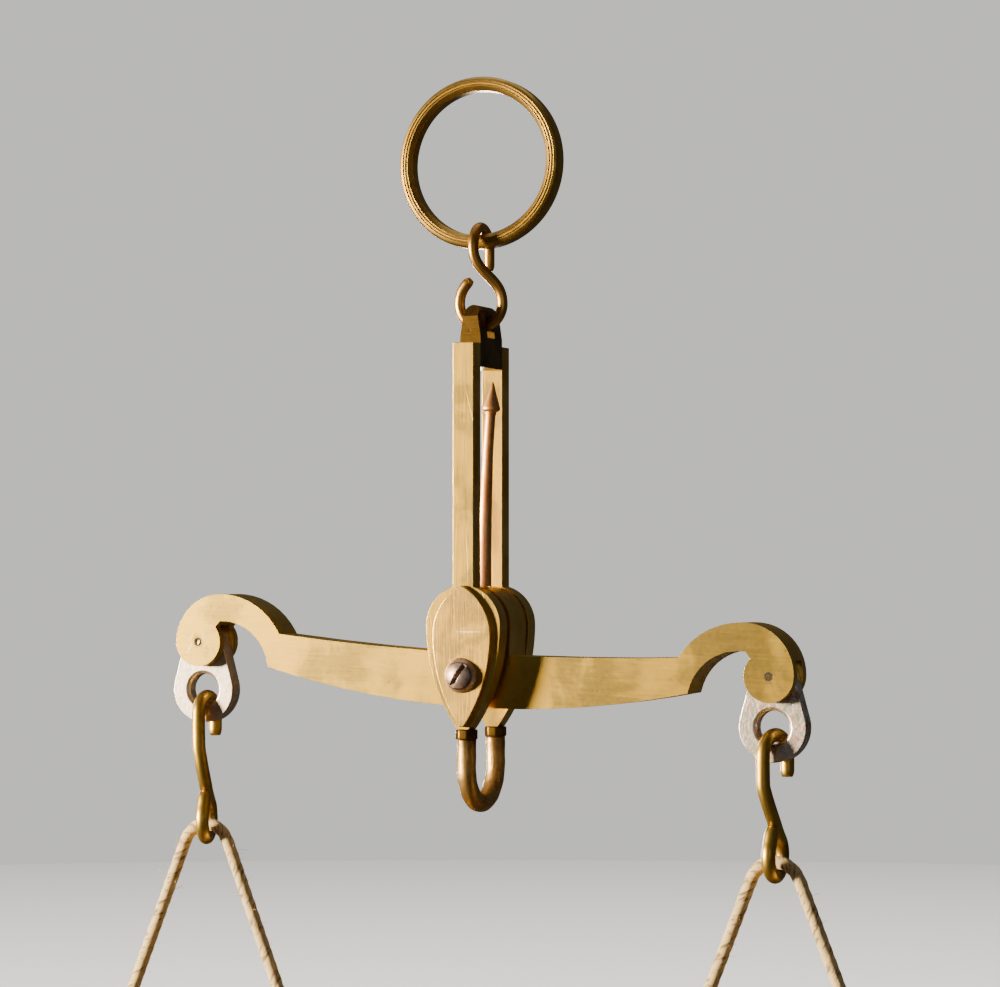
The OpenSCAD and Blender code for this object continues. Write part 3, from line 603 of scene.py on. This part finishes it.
# ---- cords ----
cordSizes = {
    "diameter": 2.1,
    "sides": 20,
    "step": 0.5,
    "lay": 6.5,  # mm for one turn of the strands
    "groove": 0.09,  # how far the strands' joints sink, as a share of the radius
    "length": 160,  # mm from knot to knot
    "colour": "#f0d298",
    "soil": ("#d9bd88", 9),  # tint, and size in mm
    "fibreTint": "#b5966a",
    "fibre": (0.3, 1.6),  # mm across and along
    "fleckTint": "#7c6242",
    "fleck": (0.7, 1.3),
    "bump": 0.12,
}
hairSizes = {
    "count": 150,
    "reach": (0.5, 2.2),  # mm
    "thick": 0.028,  # radius; coarser than a real fibre, so that it shows
    "thin": 0.012,
}
# middle of the eye's lower wire, and the cord's route from there to the right-hand hole
eyes = {"left": (-49.9916, -122.9936), "right": (49.8974, -126.1042)}
cordRoute = [(0, 2.3), (1.6, 2.0), (2.9, 1.1), (3.8, -0.2), (4.7, -2.4), (7.6, -9.8), (11.5, -19.7),
             (15.4, -29.6), (19.3, -39.5), (23.2, -49.4), (27.1, -59.3), (29.2, -64.7), (30.2, -67.4),
             (30.5, -69.0), (30.5, -70.4)]


def twistedCotton(name):
    # plied cotton string: matt cream, grey-brown flecks, strands lying at a slant
    material = bpy.data.materials.new(name)
    material.use_nodes = True
    tree = material.node_tree
    tree.nodes.clear()
    follow = addNode(tree, "ShaderNodeAttribute", {"attribute_name": "follow"}).outputs["Vector"]
    place = addNode(tree, "ShaderNodeTexCoord").outputs["Object"]
    noises = []
    for part, detail, coarse in (("fibre", 3.0, 0.7), ("fleck", 2.0, 0.5)):
        across, lengthwise = cordSizes[part]
        stretched = addNode(tree, "ShaderNodeMapping", {"vector_type": "TEXTURE"}, {
            "Vector": follow, "Scale": (across * mm, across * mm, lengthwise * mm)}).outputs[0]
        noises.append(addNode(tree, "ShaderNodeTexNoise", {}, {
            "Vector": stretched, "Scale": 1.0, "Detail": detail, "Roughness": coarse}))
    fibre, fleck = noises
    soilTint, soilSize = cordSizes["soil"]
    soil = addNode(tree, "ShaderNodeTexNoise", {}, {
        "Vector": place, "Scale": 1 / (soilSize * mm), "Detail": 3.0})
    colour = linear(cordSizes["colour"])
    for source, tint, low, high, most in ((soil, soilTint, 0.45, 0.7, 0.5),
                                          (fibre, cordSizes["fibreTint"], 0.7, 0.3, 0.45),
                                          (fleck, cordSizes["fleckTint"], 0.54, 0.63, 0.85)):
        amount = addNode(tree, "ShaderNodeMapRange", {}, {
            "Value": source.outputs["Fac"], "From Min": low, "From Max": high, "To Max": most}).outputs[0]
        colour = addNode(tree, "ShaderNodeMix", {"data_type": "RGBA"}, {
            0: amount, 6: colour, 7: linear(tint)}).outputs[2]
    bump = addNode(tree, "ShaderNodeBump", {}, {
        "Strength": 0.9, "Distance": cordSizes["bump"] * mm, "Height": fibre.outputs["Fac"]}).outputs[0]
    shader = addNode(tree, "ShaderNodeBsdfPrincipled", {}, {
        "Roughness": 0.9, "Sheen Weight": 0.35, "Sheen Roughness": 0.5, "Specular IOR Level": 0.2,
        "Base Color": colour, "Normal": bump})
    addNode(tree, "ShaderNodeOutputMaterial", {}, {"Surface": shader.outputs[0]})
    return material


cotton = twistedCotton("plied cotton string, unbleached")


def strandShape(angle, run):
    return 1 - cordSizes["groove"] * (0.5 - 0.5 * math.cos(3 * angle)) ** 2


def strandTwist(run):
    return math.tau * run / (cordSizes["lay"] * mm)


def hairRadius(i):
    return (hairSizes["thick"] if i < 4 else hairSizes["thin"]) * mm


def addFibres(bm, line, radius, seed):
    # loose hairs standing off the string, each four short lengths of fine thread
    chance = random.Random(seed)
    for _ in range(hairSizes["count"]):
        i = chance.randrange(1, len(line) - 1)
        along = unit(line[i + 1] - line[i - 1])
        out = unit(Vector([chance.gauss(0, 1) for _ in range(3)]).cross(along))
        heading = unit(out * chance.uniform(0.5, 1.3) + along * chance.uniform(-1.4, 1.4))
        p = line[i] + out * radius * 0.9
        points, reach = [p], chance.uniform(*hairSizes["reach"]) * mm
        for _ in range(4):
            heading = unit(heading + Vector([chance.uniform(-0.5, 0.5) for _ in range(3)]))
            points.append(points[-1] + heading * reach / 4)
        sweep(bm, points, hairRadius, 3, (0.3, 0.2, 0.9))


def makeCord(side, seed):
    eyeX, eyeZ = eyes[side]
    half = [Vector((x, 0, z)) for x, z in cordRoute]
    points = [Vector((-p.x, 0, p.z)) for p in reversed(half[1:])] + half
    line = smoothLine([(p + Vector((eyeX, 0, eyeZ))) * mm for p in points], cordSizes["step"] * mm)
    radius, body = cordSizes["diameter"] / 2 * mm, side + "_pan"
    bm = bmesh.new()
    sweep(bm, line, lambda i: radius, cordSizes["sides"], (0, 1, 0), strandShape, strandTwist)
    cord = finishPiece(side + "CottonCord", bm, body, [side + "_cord"], cotton, weighted=False)
    bm = bmesh.new()
    addFibres(bm, line, radius, seed)
    fuzz = finishPiece(side + "CordFibres", bm, body, [], cotton, weighted=False)
    knots = makeKnots(side, seed + 7)


knotSizes = {
    "wraps": 2.2,
    "wrapRadius": 1.32,
    "strand": 0.84,
    "tail": 7.1,  # mm from the rim's underside to the cut end
    "holes": 30.5,  # mm from the pan's middle to each hole
    "tailRadius": 1.0,
    "frayed": 26,
}


def makeKnots(side, seed):
    # an overhand stopper under each hole, drawn tight, with a short frayed tail
    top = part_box(side + "_knots")[1][2] / mm
    bm = bmesh.new()
    chance = random.Random(seed)
    for end in (-1, 1):
        x = eyes[side][0] + knotSizes["holes"] * end
        tail = [Vector((x, 0, top)), Vector((x + 0.1, 0.1, top - 2)), Vector((x - 0.1, 0, top - 4)),
                Vector((x + 0.15 * end, -0.2, top - 5.6)),
                Vector((x + 0.3 * end, -0.3, top - knotSizes["tail"]))]
        tail = smoothLine([p * mm for p in tail], 0.4 * mm)
        sweep(bm, tail, lambda i: knotSizes["tailRadius"] * mm, 16, (0, 1, 0), strandShape, strandTwist)
        wrap = []
        for i in range(15):
            t = i / 14
            angle = math.tau * knotSizes["wraps"] * t + end
            reach = knotSizes["wrapRadius"] * (1 if 0 < i < 14 else 0.35)
            drop = 0.95 + 2.3 * t - 0.25 * math.sin(2 * angle)
            wrap.append(Vector((x + reach * math.cos(angle), reach * math.sin(angle), top - drop)) * mm)
        wrap = smoothLine(wrap, 0.35 * mm)
        sweep(bm, wrap, lambda i: knotSizes["strand"] * mm, 14, (0, 0, 1), strandShape, strandTwist)
        tip = tail[-1]
        for _ in range(knotSizes["frayed"]):
            out = Vector((chance.gauss(0, 0.5), chance.gauss(0, 0.5), -1))
            start = tip + Vector((chance.uniform(-0.7, 0.7), chance.uniform(-0.7, 0.7), 0.3)) * mm
            bend = start + unit(out) * 0.35 * mm
            drooping = start + unit(out + Vector((0, 0, -0.4))) * 0.6 * mm
            sweep(bm, [start, bend, drooping], lambda i: 0.05 * mm, 3, (1, 0, 0))
    return finishPiece(side + "Knots", bm, side + "_pan", [side + "_knots"], cotton,
                       weighted=False)


makeCord("left", 11)
makeCord("right", 23)
print("stage: cords and knots")


# ---- suspension ring and S-hook ----
ringSizes = {
    "inner": 11.75,  # radius
    "bar": 2.3,
    "width": 3.4,
    "chamfer": 0.7,
    "grooves": (0.9, 1.4),  # mm out from the inside
    "grooveHalf": 0.17,
    "grooveDepth": 0.16,
    "edge": 0.05,  # worn edges, wherever the faces turn by 12 degrees
    "sharpest": 12,
    "steps": 192,
}


def makeRing():
    r, b, w, c = ringSizes["inner"], ringSizes["bar"], ringSizes["width"] / 2, ringSizes["chamfer"]
    face = [(r + c, w)]  # one side's outline, from the inner edge outwards
    for middle in ringSizes["grooves"]:
        half, bottom = ringSizes["grooveHalf"], w - ringSizes["grooveDepth"]
        face += [(r + middle - half, w), (r + middle, bottom), (r + middle + half, w)]
    face += [(r + b - c, w), (r + b - c * 0.45, w - c * 0.35)]
    bm = bmesh.new()
    outline = [(r, c - w), (r, w - c)] + face + [(r + b, w - c), (r + b, c - w)]
    outline += [(radius, -h) for radius, h in reversed(face)]
    turned(bm, outline, (0, 0, -r), (0, -1, 0), ringSizes["steps"])
    wornEdges(bm, ringSizes["edge"], ringSizes["sharpest"])
    finishPiece("suspensionRing", bm, "ring", ["ring"], ringBrass)


hookSizes = {
    "wire": 1.75,
    "upperRadius": 3.4262,
    "lowerRadius": 3.725,
    "upperZ": -25.7012,  # middle of the upper loop
    "apart": 9.1,  # between the loops' middles
    "flare": 0.5,  # how far the lower tip opens
    "sides": 24,
}


def roundedEnds(count, radius, low=0.62):
    # eases a wire's cut ends over the last few circles
    def at(i):
        edge = min(i, count - 1 - i)
        return radius * mm * (low + (1 - low) * math.sqrt(min(1, edge / 3)) if edge < 3 else 1)
    return at


def makeSHook():
    # the upper loop lies across the ring; the wire then turns a quarter round into the open lower loop
    h = hookSizes
    up, low = h["upperRadius"], h["lowerRadius"]
    upZ, lowZ = h["upperZ"], h["upperZ"] - h["apart"]
    points = [Vector((0, up, upZ - 3.4)), Vector((0, up, upZ - 1.7))]
    points += [Vector((0, y, z)) for y, z in arcPoints(up, upZ, range(0, 181, 15))]
    a, b = Vector((0, -up, upZ)), Vector((0, -up, upZ - h["apart"] / 2))
    c, d = Vector((low, 0, lowZ + h["apart"] / 2)), Vector((low, 0, lowZ))
    points += easedBend(a, b, c, d)
    for i in range(18):
        degrees = -14.5 * i
        angle = math.radians(degrees)
        reach = low + h["flare"] * (max(0, -degrees - 150) / 82) ** 2
        points.append(Vector((reach * math.cos(angle), 0, lowZ + reach * math.sin(angle))))
    line = smoothLine([p * mm for p in points], 0.3 * mm)
    bm = bmesh.new()
    # painted shade with grime: darker at the neck between the loops and low in the lower loop, where the fork
    # hangs
    sweep(bm, line, roundedEnds(len(line), h["wire"] / 2), h["sides"], (1, 0, 0),
          shadeAndGrimeAt=lambda t: 0.45 * max(0, 1 - abs(t - 0.33) / 0.1) + 0.35 * max(0, 1 - abs(t - 0.8) / 0.12))
    finishPiece("sHookWire", bm, "s_hook", ["s_hook"], bronzeWire, weighted=False)


makeRing()
makeSHook()
print("stage: ring and S-hook")


# ---- fork ----
forkFinish = {  # width of each piece's worn edges, mm
    "archEdge": 0.25,
    "cheekEdge": 0.2,
    "coverEdge": 0.22,
    "collarEdge": 0.3,
    "screwEdge": 0.14,
    "screwSharpest": 30,  # degrees, so that the dome's facets stay whole
    # depth of the screw slot's floor, which takes painted shade with grease
    "slotDepth": 0.9,
}


def softCopy(name, node, body, material, width, sharpest=28, slotShadeDepth=0):
    # the CAD node's own shape, with its edges eased and rubbed
    bm = mergedCopy(node)
    wornEdges(bm, width, sharpest)
    if slotShadeDepth:  # painted shade with old grease in the bottom of a screw's slot
        shadeAndGrime = bm.verts.layers.float.new("shadeAndGrime")
        face = max(abs(v.co.y) for v in bm.verts)
        for v in bm.verts:
            v[shadeAndGrime] = 1 if abs(abs(v.co.y) - face + slotShadeDepth * mm) < 0.2 * mm else 0
    return finishPiece(name, bm, body, [node], material)


softCopy("archBlock", "suspension_arch", "fork", archBrass, forkFinish["archEdge"])
for side in ("front", "rear"):
    softCopy(side + "Cheek", side + "_cheek", "fork", cheekBrass, forkFinish["cheekEdge"])
    softCopy(side + "CoverPlate", side + "_cover", "fork", coverBrass, forkFinish["coverEdge"])
    softCopy(side + "Collar", side + "_collar", "fork", archBrass, forkFinish["collarEdge"])
    softCopy(side + "ScrewHead", side + "_screw", "fork", screwSteel,
             forkFinish["screwEdge"], forkFinish["screwSharpest"], forkFinish["slotDepth"])

bowSizes = {
    "rod": 3.2,
    "legs": 6.1,  # from the middle to each leg
    "bendZ": -109.7,
    "topZ": -105.3,
    "uneven": 0.03,  # hammered rod, as a share of its radius
    "flats": 0.035,
    "sides": 28,
}


def makeBow():
    b = bowSizes
    points = [Vector((0, -b["legs"], z)) for z in (b["topZ"], b["topZ"] - 1.5, b["topZ"] - 3)]
    points += [Vector((0, y, z)) for y, z in arcPoints(b["legs"], b["bendZ"], range(180, 361, 10))]
    points += [Vector((0, b["legs"], z)) for z in (b["topZ"] - 3, b["topZ"] - 1.5, b["topZ"])]
    line = smoothLine([p * mm for p in points], 0.35 * mm)
    bm = bmesh.new()
    radius = b["rod"] / 2 * mm
    # painted shade with grime: darker towards both ends, where the rod goes into the collars
    sweep(bm, line, lambda i: radius * (1 - b["uneven"] * abs(math.sin(i * 0.37))), b["sides"], (1, 0, 0),
          shapeAt=lambda angle, run: 1 - b["flats"] * max(0, math.sin(3 * angle + run * 400)),
          shadeAndGrimeAt=lambda t: 0.75 * max(0, 1 - min(t, 1 - t) / 0.1))
    finishPiece("stirrupBow", bm, "fork", ["stirrup_bow"], bowBronze, weighted=False)


makeBow()
for node, steel in (("front_bush", toolSteel), ("rear_bush", toolSteel), ("knife_edge", toolSteel),
                    ("left_end_pin", pinSteel), ("right_end_pin", pinSteel)):
    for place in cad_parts[node].material_slots:
        place.material = steel
print("stage: fork")


# ---- beam and pointer ----
beamFinish = {"edge": 0.2, "sharpest": 32}
softCopy("beamBar", "beam", "beam", beamBrass, beamFinish["edge"], beamFinish["sharpest"])

pointerSizes = {
    "knifeZ": -91.4,
    "tilt": 2.7,  # degrees, with the beam
    "root": 10.7,  # heights above the knife edge
    "top": 38.6,
    "tip": 44,
    "rootR": 1.2,
    "topR": 0.85,
    "arrowR": 1.55,
    "bow": 0.4,
    "steps": 40,
}


def bowed(bm):
    # the rod is bent a touch to the left half-way up
    for v in bm.verts:
        t = (v.co.z / mm - pointerSizes["root"]) / (pointerSizes["tip"] - pointerSizes["root"])
        v.co.x -= 4 * t * (1 - t) * pointerSizes["bow"] * mm


def onBeam(bm):
    knife = Matrix.Translation((0, 0, pointerSizes["knifeZ"] * mm))
    tilt = Matrix.Rotation(math.radians(pointerSizes["tilt"]), 4, "Y")
    bmesh.ops.transform(bm, matrix=knife @ tilt, verts=bm.verts)


def makePointer():
    p = pointerSizes
    z, arrowR = p["top"], p["arrowR"]
    rod = [(0, p["root"]), (p["rootR"], p["root"]), (p["rootR"] * 0.98, 14), (p["rootR"] * 0.92, 22),
           (p["topR"] * 1.06, 32), (p["topR"], z), (0, z)]
    arrow = [(0, z), (0.95, z), (1.0, z + 0.1), (1.0, z + 0.3), (0.93, z + 0.42), (1.2, z + 0.52),
             (arrowR - 0.05, z + 0.75), (arrowR, z + 0.98), (arrowR - 0.08, z + 1.3), (1.12, z + 2.3),
             (0.72, z + 3.5), (0.36, z + 4.6), (0.15, z + 5.2), (0, p["tip"])]
    for name, profile, node in (("pointerRod", rod, "pointer"), ("pointerArrow", arrow, "pointer_arrow")):
        bm = bmesh.new()
        turned(bm, profile, (0, 0, 0), (0, 0, 1), p["steps"])
        bowed(bm)
        onBeam(bm)
        finishPiece(name, bm, "beam", [node], pointerCopper)


makePointer()
print("stage: beam and pointer")


# ---- shackles, pan hooks and pans ----
shackleFinish = {"edge": 0.28, "sharpest": 26}
for side in ("left", "right"):
    softCopy(side + "Shackle", side + "_shackle", side + "_shackle", shackleSteel[side],
             shackleFinish["edge"], shackleFinish["sharpest"])

panHookSizes = {  # mm; heights are below the end pin
    "wire": 2.2,
    "eye": 3.25,
    "rim": -10.65,  # bottom of the shackle's hole
    "gap": 0.35,
    "tail": -15.9,
    "shank": -17,
    "eyeFrom": 50,  # degrees at which the shank runs into the eye
    "eyeSweep": 266,
    "sides": 28,
    "left": {"pin": (-49.9916, -90.0436), "drop": 29.7, "bend": 3.0485,
             "bendTurn": 0, "eyeTurn": -14, "straight": 6},
    "right": {"pin": (49.8974, -94.7542), "drop": 28.1, "bend": 3.4574,
              "bendTurn": 16, "eyeTurn": 2, "straight": 3},
}


def makePanHook(side):
    # an open hook through the shackle, a slanting shank and a closed eye turned to face the cord
    s, h = panHookSizes, panHookSizes[side]
    r, eye, shank, eyeZ = h["bend"], s["eye"], s["shank"], -h["drop"]
    pin = Vector((h["pin"][0], 0, h["pin"][1]))
    bendZ = s["rim"] + s["gap"] - (r - s["wire"] / 2)
    route = [(r, s["tail"]), (r, (s["tail"] + bendZ) / 2)]
    route += arcPoints(r, bendZ, range(0, 181, 15))
    route.append((-r, (bendZ + shank) / 2))
    eyeArc = arcPoints(eye, eyeZ, [s["eyeFrom"] - s["eyeSweep"] * i / 20 for i in range(21)])
    d = Vector(eyeArc[0])
    a, b, c = Vector((-r, shank + 1)), Vector((-r, shank + 1 - h["straight"])), d + Vector((-3, 2.6))
    route += [tuple(p) for p in easedBend(a, b, c, d)] + eyeArc
    route += [(-2.05, eyeZ + 3.2), (-1.3, eyeZ + 4.4)]  # the cut end lies against the shank
    points = []
    for across, z in route:
        t = min(1, max(0, (shank - z) / 7))
        turn = math.radians(h["bendTurn"] * (1 - t) + h["eyeTurn"] * t)
        points.append((Vector((across * math.sin(turn), across * math.cos(turn), z)) + pin) * mm)
    line = smoothLine(points, 0.3 * mm)
    bm = bmesh.new()
    # painted shade with grime: darker where the hook hangs in the shackle's hole and low in the eye where the
    # cord runs
    sweep(bm, line, roundedEnds(len(line), s["wire"] / 2, 0.72), s["sides"], (1, 0, 0),
          shadeAndGrimeAt=lambda t: 0.75 * max(0, 1 - abs(t - 0.21) / 0.1) + 0.9 * max(0, 1 - abs(t - 0.72) / 0.14))
    node = side + "_hook"
    finishPiece(side + "PanHook", bm, node, [node], hookBrass, weighted=False)


panFinish = {"edge": 0.22, "sharpest": 24, "below": 70}  # the pan's middle, mm below the eye
for side in ("left", "right"):
    makePanHook(side)
    eyeX, eyeZ = eyes[side]
    softCopy(side + "Pan", side + "_pan", side + "_pan",
             panBrass("spun brass pan, " + side, (eyeX, 0, eyeZ - panFinish["below"])),
             panFinish["edge"], panFinish["sharpest"])
print("stage: shackles, hooks and pans")
